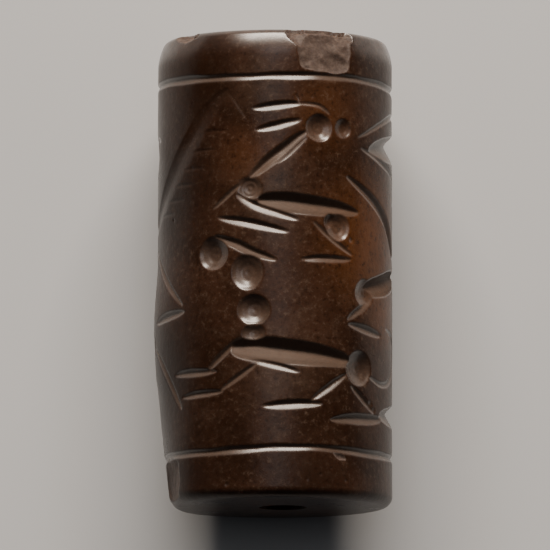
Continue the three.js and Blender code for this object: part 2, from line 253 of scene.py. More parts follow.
def spline_points(path: Sequence[Place], per_span: int = 14) -> tuple[Array, Array]:
    """Follows a path through its points, straight for two of them and smooth for more.

    Args:
        path: the points.
        per_span: how many steps each span is cut into.

    Returns:
        The points along the path, and each one's share of the way, where every span has an equal share.
    """
    knots = np.array([path[0], *path, path[-1]], float)
    points, shares = [], []
    spans = len(path) - 1
    for span in range(spans):
        before, start, end, after = knots[span : span + 4]
        lead, trail = (end - before) / 2, (after - start) / 2
        if spans == 1:
            lead = trail = end - start
        steps = np.linspace(0, 1, per_span, endpoint=False)[:, None]
        cubic = (2 * start - 2 * end + lead + trail) * steps**3
        square = (-3 * start + 3 * end - 2 * lead - trail) * steps**2
        points.append(cubic + square + lead * steps + start)
        shares.append((span + steps[:, 0]) / spans)
    return np.vstack([*points, knots[-1]]), np.append(np.concatenate(shares), 1.0)


@dataclass(frozen=True)
class Stroke(Cut):
    """A wheel-cut stroke, pointed at both ends and deepest at its belly.

    A lean over 1 moves the belly towards the path's first point, and under 1 towards its last. The keel is
    how sharp its bottom is: 1 is a plain V, and 2 is round. The upper side is the steeper one, and the lower
    one eases out towards its lip. Ribs are the lengthwise ridges that several passes of the wheel leave.
    """

    path: tuple[Place, ...]
    width: float
    lean: float = 1.0
    depth: float | None = None
    keel: float = 1.2
    taper: float = 0.48
    ribs: float = 0.0
    dull: float = 0.75

    def placed(self, anchor: Place, way: Way) -> "Stroke":
        """The same stroke, moved from a figure's own frame onto the stone."""
        return replace(self, path=tuple(way.place(anchor, point) for point in self.path))

    def reach(self) -> tuple[Place, Place]:
        """The lowest and highest (around, up) that the stroke touches."""
        points, _ = spline_points(self.path)
        low, high = points.min(0) - self.width / 2, points.max(0) + self.width / 2
        return (low[0], low[1]), (high[0], high[1])

    def depth_at(self, around: Array, up: Array) -> Array:
        """Gives the stroke's depth, from how far each place lies from the stroke's path and on which side."""
        points, shares = spline_points(self.path)
        nearest = np.full(around.shape, np.inf)
        share, above, level = (np.zeros(around.shape) for _ in range(3))
        for i in range(len(points) - 1):
            run = points[i + 1] - points[i]
            length = max(float(np.hypot(*run)), 1e-6)
            from_around, from_up = around - points[i, 0], up - points[i, 1]
            along = np.clip((from_around * run[0] + from_up * run[1]) / length**2, 0, 1)
            off = np.hypot(from_around - along * run[0], from_up - along * run[1])
            closer = off < nearest
            nearest = np.where(closer, off, nearest)
            share = np.where(closer, shares[i] + along * (shares[i + 1] - shares[i]), share)
            side = (from_up * run[0] - from_around * run[1]) * np.sign(run[0]) / length
            above = np.where(closer, np.sign(side), above)
            level = np.where(closer, abs(run[0]) / length, level)
        place = share ** (1 / self.lean)
        swell = (4 * place * (1 - place)).clip(0) ** self.taper
        across = nearest * above / np.maximum(swell * self.width / 2, 1e-6)
        deepest = STROKE_DEPTH * self.width if self.depth is None else self.depth
        depth = deepest * wheel_profile(across, KEEL_SHIFT * level, self.keel)
        ribs = np.sin(8.5 * across + 1.5 + 0.8 * np.sin(4 * place))
        ribs *= smooth_step(across, -1.0, -0.7) * smooth_step(across, KEEL_SHIFT, 0.0)
        return np.where(np.abs(across) < 1, swell * (depth + self.ribs * ribs), 0.0)


@dataclass(frozen=True)
class BorderLine:
    """A line scored round the stone by a hand that wavers."""

    up: float
    sway: float
    sway_turn: float
    ripples: int
    ripple: float
    ripple_turn: float
    width: float = 0.75
    depth: float = 0.22
    dull: float = 0.7

    def depth_on(self, angle: Array, up: Array) -> Array:
        """Gives the line's depth.

        Args:
            angle: angles round the stone, in radians.
            up: heights up the stone.

        Returns:
            The depth at each place.
        """
        stray = self.sway * np.sin(angle + self.sway_turn)
        stray += self.ripple * np.sin(self.ripples * angle + self.ripple_turn)
        stray += 0.012 * np.sin(17 * angle + 2.0)
        press = 0.9 + 0.08 * np.sin(5 * angle + self.up) + 0.04 * np.sin(13 * angle)
        across = (up - self.up - stray) / (press * self.width / 2)
        return np.where(np.abs(across) < 1, self.depth * press * wheel_profile(across, KEEL_SHIFT), 0.0)


class Relief:
    """How deep the carving is, all over the unrolled side."""

    def __init__(self, stone: Stone, columns: int = 1600, rows: int = 1001) -> None:
        """Starts with a plain side.

        Args:
            stone: the stone that is cut.
            columns: cells round the stone.
            rows: cells up it.
        """
        self.stone = stone
        self.columns = columns
        self.rows = rows
        self.step = stone.girth / columns
        self.rise = stone.length / (rows - 1)
        self.depth = np.zeros((rows, columns))
        self.cut = np.zeros((rows, columns))

    def tremor(self, around: Array, up: Array) -> tuple[Array, Array]:
        """Shifts places by the small unsteadiness of the engraver's hand.

        Args:
            around: distances round the stone.
            up: heights up the stone.

        Returns:
            The shifted places.
        """
        angle = around / self.stone.radius
        shift = 0.018 * np.sin(16 * angle + 1.1 * up) + 0.006 * np.sin(41 * angle - 3.7 * up + 1)
        lift = 0.018 * np.sin(14 * angle + 0.9 * up + 2) + 0.006 * np.sin(37 * angle + 4.1 * up)
        return around + shift, up + lift

    def sink(self, cut: Cut) -> None:
        """Sinks one cut; where cuts cross, the deeper one shows."""
        (left, low), (right, high) = cut.reach()
        columns = np.arange(math.floor(left / self.step) - 4, math.ceil(right / self.step) + 5)
        lowest = max(0, math.floor(low / self.rise) - 4)
        highest = min(self.rows, math.ceil(high / self.rise) + 5)
        rows = np.arange(lowest, highest)
        around, up = np.meshgrid(columns * self.step, rows * self.rise)
        cells = np.ix_(rows, columns % self.columns)
        depth = cut.depth_at(*self.tremor(around, up))
        is_deeper = depth > self.depth[cells]
        dulled = cut.dull * smooth_step(depth, 0.0, LIP_DEPTH)
        self.cut[cells] = np.where(is_deeper, dulled, self.cut[cells])
        self.depth[cells] = np.maximum(self.depth[cells], depth)

    def score(self, line: BorderLine) -> None:
        """Scores one border line all round the stone."""
        turns = np.arange(self.columns) * self.step / self.stone.radius
        angle, up = np.meshgrid(turns, np.arange(self.rows) * self.rise)
        depth = line.depth_on(angle, up)
        self.cut = np.where(depth > self.depth, line.dull * smooth_step(depth, 0.0, LIP_DEPTH), self.cut)
        self.depth = np.maximum(self.depth, depth)

    @staticmethod
    def blurred(values: Array, times: int) -> Array:
        """Softens a map of the side.

        Args:
            values: the map.
            times: how many times it is softened by one cell.

        Returns:
            The softened map.
        """
        for _ in range(times):
            sides = np.roll(values, 1, 1) + np.roll(values, -1, 1)
            values = values / 2 + sides / 4
            padded = np.pad(values, ((1, 1), (0, 0)), mode="edge")
            values = values / 2 + (padded[:-2] + padded[2:]) / 4
        return values

    def polish(self) -> None:
        """Rounds the lips a little, as handling has, and finds the worn edges."""
        self.depth = self.blurred(self.depth, 4)
        self.cut = self.blurred(self.cut, 3)
        wide = self.blurred(self.depth, 14)
        self.edge = np.clip((wide - self.depth) / 0.05, 0, 1)

    def sample(self, values: Array, around: Array, up: Array) -> Array:
        """Reads a map of the side between its cells.

        Args:
            values: the map.
            around: distances round the stone.
            up: heights up the stone.

        Returns:
            The map's value at each place.
        """
        column = (around / self.step) % self.columns
        row = np.clip(up / self.rise, 0, self.rows - 1.001)
        left, low = np.floor(column).astype(int), np.floor(row).astype(int)
        across, rise = column - left, row - low
        left %= self.columns
        right = (left + 1) % self.columns
        lower = values[low, left] * (1 - across) + values[low, right] * across
        upper = values[low + 1, left] * (1 - across) + values[low + 1, right] * across
        return lower * (1 - rise) + upper * rise


# ---- The figures ----


@dataclass(frozen=True)
class Figure:
    """Part of the frieze. Its own frame starts at its anchor and runs its way round the stone."""

    anchor: Place
    way: Way

    def marks(self) -> Iterable[Cut]:
        """The figure's cuts, in its own frame."""
        raise NotImplementedError

    def cuts(self) -> list[Cut]:
        """The figure's cuts, on the stone."""
        return [mark.placed(self.anchor, self.way) for mark in self.marks()]


@dataclass(frozen=True)
class Engraving(Figure):
    """A figure that is plainly the pits and strokes it is made of."""

    made: tuple[Cut, ...]

    def marks(self) -> Iterable[Cut]:
        """The engraving's cuts, in its own frame."""
        return self.made


@dataclass(frozen=True)
class Goat(Figure):
    """A goat that looks back over its rump. Its frame starts at the shoulder and runs to the rump.

    The muzzle and the horns are placed from the head.
    """

    head: Place
    muzzle: Place
    haunch: Place
    neck_foot: Place
    neck_tail: Place
    chest: Place
    loin: Place
    body_lean: float
    hock: Path
    hind_hoof: Path
    horns: tuple[Path, ...]
    shoulder_radius: float
    haunch_radius: float
    head_radius: float
    muzzle_radius: float
    neck_width: float
    body_width: float
    horn_width: float
    hoof_width: float
    extras: tuple[Cut, ...]
    nape: Place = (-0.9, -0.3)

    def marks(self) -> list[Cut]:
        """The goat's cuts, in its own frame."""
        nape, muzzle = (Way.RIGHT.place(self.head, point) for point in (self.nape, self.muzzle))
        made: list[Cut] = [
            Pit((0, 0), self.shoulder_radius, depth=0.29, rings=-0.02),
            Pit(self.haunch, self.haunch_radius),
            Pit(self.head, self.head_radius),
            Pit(muzzle, self.muzzle_radius, dull=0.3),
            Stroke((nape, self.neck_foot), self.neck_width, ribs=0.008, dull=0.85),
            Stroke((self.neck_foot, self.neck_tail), 0.5),
            Stroke((self.chest, self.loin), self.body_width, self.body_lean, ribs=0.016, dull=1.0),
            Stroke(self.hock, 0.55),
            Stroke(self.hind_hoof, self.hoof_width),
            *self.extras,
        ]
        return made + [Stroke(horn, self.horn_width).placed(self.head, Way.RIGHT) for horn in self.horns]


@dataclass(frozen=True)
class Leg:
    """A folded leg: a shank, and the hoof laid level below it."""

    shank: Path
    hoof: Path
    shank_width: float
    hoof_width: float


@dataclass(frozen=True)
class Beast(Figure):
    """A long-necked beast that crouches, with a neck of drilled beads and a curled tail.

    Its frame starts at the shoulder. A bead of the neck is its place, half its width and half its height.
    """

    head: Place
    neck: tuple[tuple[Place, float, float], ...]
    haunch: Place
    brow: Path
    body: Path
    belly: Path
    tail: Path
    head_radius: float
    haunch_radius: float
    brow_width: float
    body_width: float
    belly_width: float
    legs: tuple[Leg, ...]

    def marks(self) -> list[Cut]:
        """The beast's cuts, in its own frame."""
        made: list[Cut] = [Pit(*bead) for bead in self.neck]
        made += [
            Pit(self.head, self.head_radius),
            Pit(self.haunch, self.haunch_radius),
            Stroke(self.brow, self.brow_width, 1.2, dull=1.0),
            Stroke(self.body, self.body_width, 1.25, ribs=0.018, dull=1.0),
            Stroke(self.belly, self.belly_width),
            Stroke(self.tail, 0.62, keel=1.6),
        ]
        for leg in self.legs:
            made += [Stroke(leg.shank, leg.shank_width), Stroke(leg.hoof, leg.hoof_width)]
        return made


@dataclass(frozen=True)
class Wing:
    """A wing of the winged figure: a broad shallow cut, and feathers that hang level from its lower edge."""

    way: Way
    spine: Path
    feathers: int
    first: float
    last: float
    feather_length: float
    width: float = 1.9
    depth: float = 0.13
    dull: float = 0.12

    def marks(self) -> list[Cut]:
        """The wing's cuts, in the winged figure's frame."""
        spine = tuple((self.way.value * along, rise) for along, rise in self.spine)
        points, shares = spline_points(spine)
        made: list[Cut] = [Stroke(spine, self.width, depth=self.depth, keel=1.8, dull=self.dull)]
        for share in np.linspace(self.first, self.last, self.feathers):
            root = tuple(float(np.interp(share, shares, points[:, axis])) for axis in (0, 1))
            end = (root[0] + self.way.value * self.feather_length, root[1])
            made.append(Stroke((root, end), 0.36, depth=0.06, dull=self.dull))
        return made


@dataclass(frozen=True)
class WingedFigure(Engraving):
    """The winged figure: spread wings beside a great head, two legs and a bird's tail."""

    wings: tuple[Wing, ...]

    def marks(self) -> list[Cut]:
        """The winged figure's cuts, in its own frame."""
        return [*self.made, *(mark for wing in self.wings for mark in wing.marks())]


WINGED_FIGURE = WingedFigure(
    anchor=(-14.3, 20.7),
    way=Way.RIGHT,
    made=(
        Pit((0, 0), 0.97),
        Pit((0.6, 5.75), 1.32, tall=1.5, depth=0.55),
        Stroke(((2.6, 6.6), (0.9, 7.0)), 0.42),
        Stroke(((-2.1, 6.4), (-0.2, 7.0)), 0.42),
        Stroke(((0.7, 2.6), (0.2, 0.5)), 0.38),
        Pit((0.9, -8.6), 1.05),
        Stroke(((1.8, -8.85), (3.75, -10.75), (6.25, -13.9)), 0.75),
        Stroke(((1.0, -1.5), (6.5, -6.15)), 0.75),
        Stroke(((6.7, -6.6), (2.3, -7.1)), 0.85),
        Stroke(((-1.2, -1.0), (-6.0, -4.8)), 0.75),
        Stroke(((-0.2, -6.8), (-5.9, -5.7)), 0.85),
        Stroke(((10.7, 9.6), (12.3, 7.3)), 0.34, depth=0.05, dull=0.5),
        Stroke(((0.2, -1.6), (0.25, -7.2)), 0.34),
        Stroke(((0.6, -1.6), (0.65, -7.2)), 0.34),
    ),
    wings=(
        Wing(Way.RIGHT, ((0.8, -0.3), (3.4, 1.7), (6.0, 4.5), (8.8, 7.8), (10.8, 9.8)), 6, 0.16, 0.66, 3.1),
        Wing(Way.LEFT, ((0.7, -0.3), (3.1, 1.6), (5.3, 4.0), (7.4, 6.5), (9.7, 9.1)), 8, 0.2, 0.98, 2.5),
    ),
)

# A fawn with one long ear along its back. Its frame starts at the shoulder and runs to the rump.
FAWN = Engraving(
    anchor=(14.95, 17.9),
    way=Way.LEFT,
    made=(
        Pit((0, 0), 0.97),
        Pit((7.35, -2.4), 1.05),
        Pit((-2.15, 5.6), 1.0),
        Pit((-3.75, 5.95), 0.6),
        Stroke(((-0.6, 5.3), (2.1, 4.7)), 0.45),
        Stroke(((-1.6, 4.2), (2.2, -0.45)), 1.0),
        Stroke(((1.75, 0.4), (2.7, 1.6), (4.6, 3.5), (9.26, 6.2)), 1.15),
        Stroke(((0.6, -0.6), (8.3, -2.5)), 1.9, 1.15, ribs=0.016, dull=1.0),
        Stroke(((-2.15, -2.4), (-0.1, -1.55)), 0.55),
        Stroke(((-1.45, -2.8), (1.35, -3.5)), 0.45),
        Stroke(((6.3, -2.7), (9.15, -4.6)), 0.75),
        Stroke(((9.1, -4.9), (5.1, -5.5)), 0.8),
    ),
)

# The eye: a deep spindle between two thin lids.
EYE = Engraving(
    anchor=(13.1, 26.75),
    way=Way.RIGHT,
    made=(
        Stroke(((4.8, 0.5), (-5.0, -0.5)), 2.2, keel=1.5),
        Stroke(((5.8, 0.8), (2.6, 2.3), (-1.2, 2.3), (-6.3, 0.3)), 0.62),
        Stroke(((5.9, -0.1), (1.6, -1.9)), 0.48),
        Stroke(((0.1, -2.2), (-6.0, -0.45)), 0.6),
    ),
)

# The spindle below the fawn, with a slip of the wheel under it.
SPINDLE = Engraving(
    anchor=(13.8, 6.7),
    way=Way.RIGHT,
    made=(Stroke(((4.3, 0.3), (-4.3, -0.3)), 1.8, keel=1.5), Stroke(((3.0, -1.75), (0.5, -1.3)), 0.42)),
)

FRONT_GOAT = Goat(
    anchor=(-1.92, 23.0),
    way=Way.RIGHT,
    head=(5.28, 4.6),
    muzzle=(2.1, 0.04),
    haunch=(6.9, -2.75),
    neck_foot=(-0.05, 0.75),
    neck_tail=(-3.0, -1.5),
    chest=(0.6, -0.95),
    loin=(8.85, -1.6),
    body_lean=1.5,
    hock=((4.75, -2.4), (6.3, -3.7), (8.25, -4.85)),
    hind_hoof=((3.8, -5.3), (8.15, -5.15)),
    horns=(((-5.1, 1.35), (-1.3, 1.75)), ((-4.8, -0.3), (-1.35, 0.5))),
    shoulder_radius=0.96,
    haunch_radius=1.08,
    head_radius=1.1,
    muzzle_radius=0.76,
    neck_width=1.15,
    body_width=1.7,
    horn_width=0.78,
    hoof_width=0.72,
    extras=(
        Pit((6.3, -2.4), 0.64, depth=0.42),
        Stroke(((3.6, 6.35), (5.2, 6.25), (6.2, 5.6)), 0.42),
        Stroke(((4.4, 3.85), (2.1, 1.8)), 0.5),
        Stroke(((-1.0, -0.45), (0.55, -1.35), (3.7, -2.4)), 0.85),
        Stroke(((-2.6, -2.1), (3.0, -3.3)), 0.84),
    ),
)

BACK_GOAT = Goat(
    anchor=(27.8, 21.6),
    way=Way.LEFT,
    head=(3.05, 5.4),
    muzzle=(2.8, 0.3),
    haunch=(6.85, -3.2),
    neck_foot=(-1.1, -0.2),
    neck_tail=(-3.0, -2.0),
    chest=(0.1, -0.6),
    loin=(7.4, -3.1),
    body_lean=1.1,
    hock=((7.2, -5.0), (8.7, -6.2)),
    hind_hoof=((2.3, -7.3), (8.6, -6.3)),
    horns=(((0.95, 1.1), (-1.5, 2.3), (-3.65, 2.9)), ((-0.75, 0.75), (-5.4, -0.7))),
    shoulder_radius=0.9,
    haunch_radius=1.22,
    head_radius=1.05,
    muzzle_radius=0.66,
    neck_width=1.25,
    body_width=2.0,
    horn_width=0.78,
    hoof_width=0.85,
    extras=(Stroke(((7.5, -2.5), (8.95, -2.8)), 0.5),),
)

FRONT_BEAST = Beast(
    anchor=(-1.6, 12.15),
    way=Way.LEFT,
    head=(3.25, 6.1),
    neck=(((0, 0), 0.9, 0.78), ((-0.02, 1.78), 1.28, 1.2), ((0.5, 4.62), 1.24, 1.4)),
    haunch=(-8.6, -2.35),
    brow=((3.2, 7.3), (1.5, 6.75), (0.1, 6.05), (-1.75, 5.4)),
    body=((1.8, -1.05), (-2.5, -1.38), (-7.9, -1.95)),
    belly=((0.35, -1.95), (-3.5, -2.9)),
    tail=((-9.7, -2.95), (-11.6, -3.35), (-13.6, -2.8), (-14.85, -1.3), (-14.5, 0.3), (-12.4, 0.95)),
    head_radius=1.28,
    haunch_radius=1.34,
    brow_width=0.9,
    body_width=2.1,
    belly_width=0.7,
    legs=(
        Leg(((0.9, -0.2), (3.75, -2.7)), ((2.85, -2.75), (7.3, -2.75)), 0.7, 0.76),
        Leg(((-0.35, -2.2), (2.65, -4.25)), ((2.3, -4.25), (6.4, -4.5)), 0.62, 0.7),
        Leg(((-7.4, -2.85), (-4.3, -5.0)), ((-0.6, -5.45), (-5.3, -5.2)), 0.72, 0.86),
        Leg(((-7.7, -3.7), (-10.4, -5.65)), ((-5.85, -6.35), (-11.6, -6.0)), 0.66, 1.0),
    ),
)

BACK_BEAST = Beast(
    anchor=(-24.7, 12.2),
    way=Way.RIGHT,
    head=(2.75, 6.5),
    neck=(((0, 0), 1.2, 1.15), ((-0.5, 2.4), 1.35, 1.25), ((-0.8, 5.1), 1.25, 1.3)),
    haunch=(-9.35, -2.2),
    brow=((3.9, 7.6), (1.6, 7.5), (-1.0, 6.5), (-3.5, 5.3)),
    body=((-0.2, -0.5), (-4.4, -1.1), (-8.8, -2.1)),
    belly=((-1.8, -1.6), (-6.4, -2.9)),
    tail=((-10.6, -1.9), (-12.0, -2.1), (-13.4, -2.0), (-14.4, -0.5), (-14.0, 0.8), (-12.6, 1.4)),
    head_radius=1.25,
    haunch_radius=1.38,
    brow_width=0.75,
    body_width=2.3,
    belly_width=0.8,
    legs=(
        Leg(((1.1, -1.1), (3.6, -3.4)), ((7.4, -4.0), (2.7, -3.9)), 0.7, 0.78),
        Leg(((-2.3, -2.6), (0.6, -5.5)), ((7.1, -6.1), (1.3, -5.9)), 0.62, 1.05),
        Leg(((-8.2, -3.9), (-5.4, -5.2)), ((-1.4, -5.65), (-5.7, -5.6)), 0.6, 0.7),
        Leg(((-8.7, -3.8), (-10.7, -5.7)), ((-5.0, -6.9), (-10.6, -6.1)), 0.62, 0.9),
    ),
)

# Small knocks and holes in the side.
NICKS = (
    Stroke(((1.5, 30.1), (1.82, 29.45)), 0.32, depth=0.12, dull=0.4),
    Pit((2.8, 29.9), 0.13, depth=0.06, dull=0.4),
    Pit((6.2, 19.3), 0.22, depth=0.08, dull=0.4),
    Pit((5.9, 18.8), 0.14, depth=0.05, dull=0.4),
    Pit((8.2, 7.2), 0.32, depth=0.1, dull=0.4),
    Pit((8.65, 6.75), 0.24, depth=0.08, dull=0.4),
    Pit((-3.7, 0.95), 0.2, depth=0.08, dull=0.3),
    Pit((3.5, 1.7), 0.14, depth=0.06, dull=0.3),
    Pit((2.4, 1.3), 0.13, depth=0.06, dull=0.3),
    Pit((5.7, 1.3), 0.15, depth=0.06, dull=0.3),
    Pit((4.4, 2.2), 0.11, depth=0.05, dull=0.3),
    Pit((-6.9, 24.8), 0.13, depth=0.07, dull=0.1),
    Pit((-9.1, 21.1), 0.14, depth=0.07, dull=0.1),
    Pit((-2.9, 31.9), 0.12, depth=0.05, dull=0.3),
    Pit((18.4, 12.6), 0.2, depth=0.09, dull=0.3),
    Pit((-20.5, 28.8), 0.18, depth=0.08, dull=0.3),
    Pit((22.6, 29.4), 0.16, depth=0.07, dull=0.3),
)

BORDER_LINES = (
    BorderLine(up=3.4, sway=0.16, sway_turn=1.1, ripples=4, ripple=0.09, ripple_turn=0.7),
    BorderLine(up=31.3, sway=0.14, sway_turn=2.2, ripples=3, ripple=0.1, ripple_turn=-0.4),
)


# ---- Breaks ----


@dataclass(frozen=True)
class Flake:
    """A flake lost from the stone, which leaves a shell-shaped scar with creases in it."""

    around: float
    up: float
    long: float
    wide: float
    deep: float
    turn: float = 0.0
    ragged: float = 0.05
    crease: float = 0.03
    square: float = 0.0
    lift: float = 0.05

    def bite(self, local: Array, tilt: Array) -> Array:
        """Finds how far the scar sinks each point of the surface.

        Args:
            local: places as (around, up, height above the plain side).
            tilt: the sine of the surface's own slope towards the nearer end, positive upwards.

        Returns:
            The distance that each point sinks against its outward direction.
        """
        turn = math.radians(self.turn)
        axes = np.array([
            [math.cos(turn), math.sin(turn), 0.0],
            [-math.sin(turn), math.cos(turn), 0.0],
            [0.0, 0.0, 1.0],
        ])
        sizes = np.array([self.long, self.wide, self.deep])
        outward = np.stack([np.zeros(len(tilt)), tilt, np.sqrt(1 - tilt**2)], 1)
        place = (local - np.array([self.around, self.up, self.lift])) @ axes.T / sizes
        inward = -(outward @ axes.T) / sizes
        bearing = np.arctan2(place[:, 1], place[:, 0])
        rag = np.sin(3 * bearing + self.up) + 0.7 * np.sin(5 * bearing + self.around)
        rag += 0.5 * np.sin(11 * bearing)
        corner = 1 - self.square * (1 - (np.cos(bearing) ** 4 + np.sin(bearing) ** 4) ** 0.25)
        place[:, :2] *= (corner * (1 + self.ragged * rag))[:, None]
        steep = np.einsum("ij,ij->i", inward, inward)
        lean = np.einsum("ij,ij->i", place, inward)
        inside = np.einsum("ij,ij->i", place, place) - 1
        sunk = (-lean + np.sqrt(np.maximum(lean**2 - steep * inside, 0))) / steep
        shell = np.abs(np.sin(2.1 * place[:, 0] + 1.3 * place[:, 1] + self.up))
        shell += 0.7 * np.abs(np.sin(2.9 * place[:, 1] - 1.7 * place[:, 0] + self.around))
        shell += 0.2 * np.sin(13 * np.hypot(place[:, 0] - 0.8, place[:, 1] - 0.6))
        sunk += self.crease * (shell - 1) * smooth_step(-inside, 0.0, 0.35)
        return np.where(inside < 0, np.maximum(sunk, 0), 0)


FLAKES = (
    Flake(3.95, 33.5, 2.25, 1.75, 0.45, ragged=0.035, crease=0.1, square=1.0),
    Flake(5.5, 34.75, 1.1, 0.75, 0.5, -20),
    Flake(1.7, 34.75, 0.8, 1.05, 0.5, 25),
    Flake(-8.4, 35.0, 1.7, 0.6, 0.5, -10),
    Flake(-10.5, 1.2, 2.5, 2.1, 0.36, 80),
    Flake(5.1, 3.15, 0.7, 0.3, 0.22, -25),
    Flake(24.2, 1.3, 1.6, 1.0, 0.5, -15),
)


# ---- Node trees ----


@dataclass
class Graph:
    """A node tree that is being put together."""

    tree: bpy.types.NodeTree

    def feed(self, socket: bpy.types.NodeSocket, value: Any) -> None:
        """Gives an input a value, or links it to an output."""
        if isinstance(value, bpy.types.NodeSocket):
            self.tree.links.new(value, socket)
        else:
            socket.default_value = value

    def node(self, kind: str, inputs: dict[str | int, Any] | None = None, **settings: Any) -> bpy.types.Node:
        """Adds a node.

        Args:
            kind: the node's type.
            inputs: values or outputs for its inputs, by name or number.
            **settings: its own settings.

        Returns:
            The node.
        """
        made = self.tree.nodes.new(kind)
        for name, value in settings.items():
            setattr(made, name, value)
        for name, value in (inputs or {}).items():
            self.feed(made.inputs[name], value)
        return made

    def math(self, operation: str, *values: Any) -> bpy.types.NodeSocket:
        """Adds a Math node, with its inputs in order, and gives its output."""
        return self.node("ShaderNodeMath", dict(enumerate(values)), operation=operation).outputs[0]

    def step(
        self, value: Any, low: float, high: float, to_low: float = 0.0, to_high: float = 1.0
    ) -> bpy.types.NodeSocket:
        """Adds a smooth step.

        Args:
            value: what is judged.
            low: where the step starts.
            high: where it ends.
            to_low: the output below low.
            to_high: the output above high.

        Returns:
            The step's output.
        """
        inputs = {"Value": value, "From Min": low, "From Max": high, "To Min": to_low, "To Max": to_high}
        return self.node("ShaderNodeMapRange", inputs, interpolation_type="SMOOTHSTEP").outputs[0]

    def mix(self, share: Any, first: Any, second: Any) -> bpy.types.NodeSocket:
        """Adds a mix of two colours, where the share says how much of the second shows."""
        return self.node("ShaderNodeMix", {0: share, 6: first, 7: second}, data_type="RGBA").outputs[2]

    def added(self, start: Any, parts: Iterable[tuple[Any, Any]]) -> Any:
        """Adds up parts, each a mask and its amount, from a start."""
        for mask, amount in parts:
            start = self.math("MULTIPLY_ADD", mask, amount, start)
        return start

    def noise(self, place: Any, size_mm: float, detail: float = 3.0, **inputs: float) -> bpy.types.NodeSocket:
        """Adds a noise.

        Args:
            place: the coordinates that it reads, in metres.
            size_mm: how big its patches are, in millimetres.
            detail: how many finer layers it has.
            **inputs: its other inputs, by name.

        Returns:
            Its value, from 0 to 1.
        """
        values = {"Vector": place, "Scale": 1 / (size_mm * MM), "Detail": detail, **inputs}
        return self.node("ShaderNodeTexNoise", values).outputs["Fac"]

    def mapped(self, place: Any, turn: Sequence[float], scale: Sequence[float]) -> bpy.types.NodeSocket:
        """Turns coordinates about each axis, in degrees, and stretches them."""
        inputs = {"Vector": place, "Rotation": [math.radians(t) for t in turn], "Scale": scale}
        return self.node("ShaderNodeMapping", inputs).outputs[0]


def new_tree(name: str, kinds: dict[str, Sequence[str]], output: str) -> bpy.types.NodeTree:
    """Makes an empty Geometry Nodes tree.

    Args:
        name: the tree's name.
        kinds: the names of its inputs, by their kind.
        output: the name of the geometry that it puts out.

    Returns:
        The tree.
    """
    tree = bpy.data.node_groups.new(name, "GeometryNodeTree")
    for kind, names in kinds.items():
        for socket in names:
            tree.interface.new_socket(name=socket, in_out="INPUT", socket_type=f"NodeSocket{kind}")
    tree.interface.new_socket(name=output, in_out="OUTPUT", socket_type="NodeSocketGeometry")
    return tree


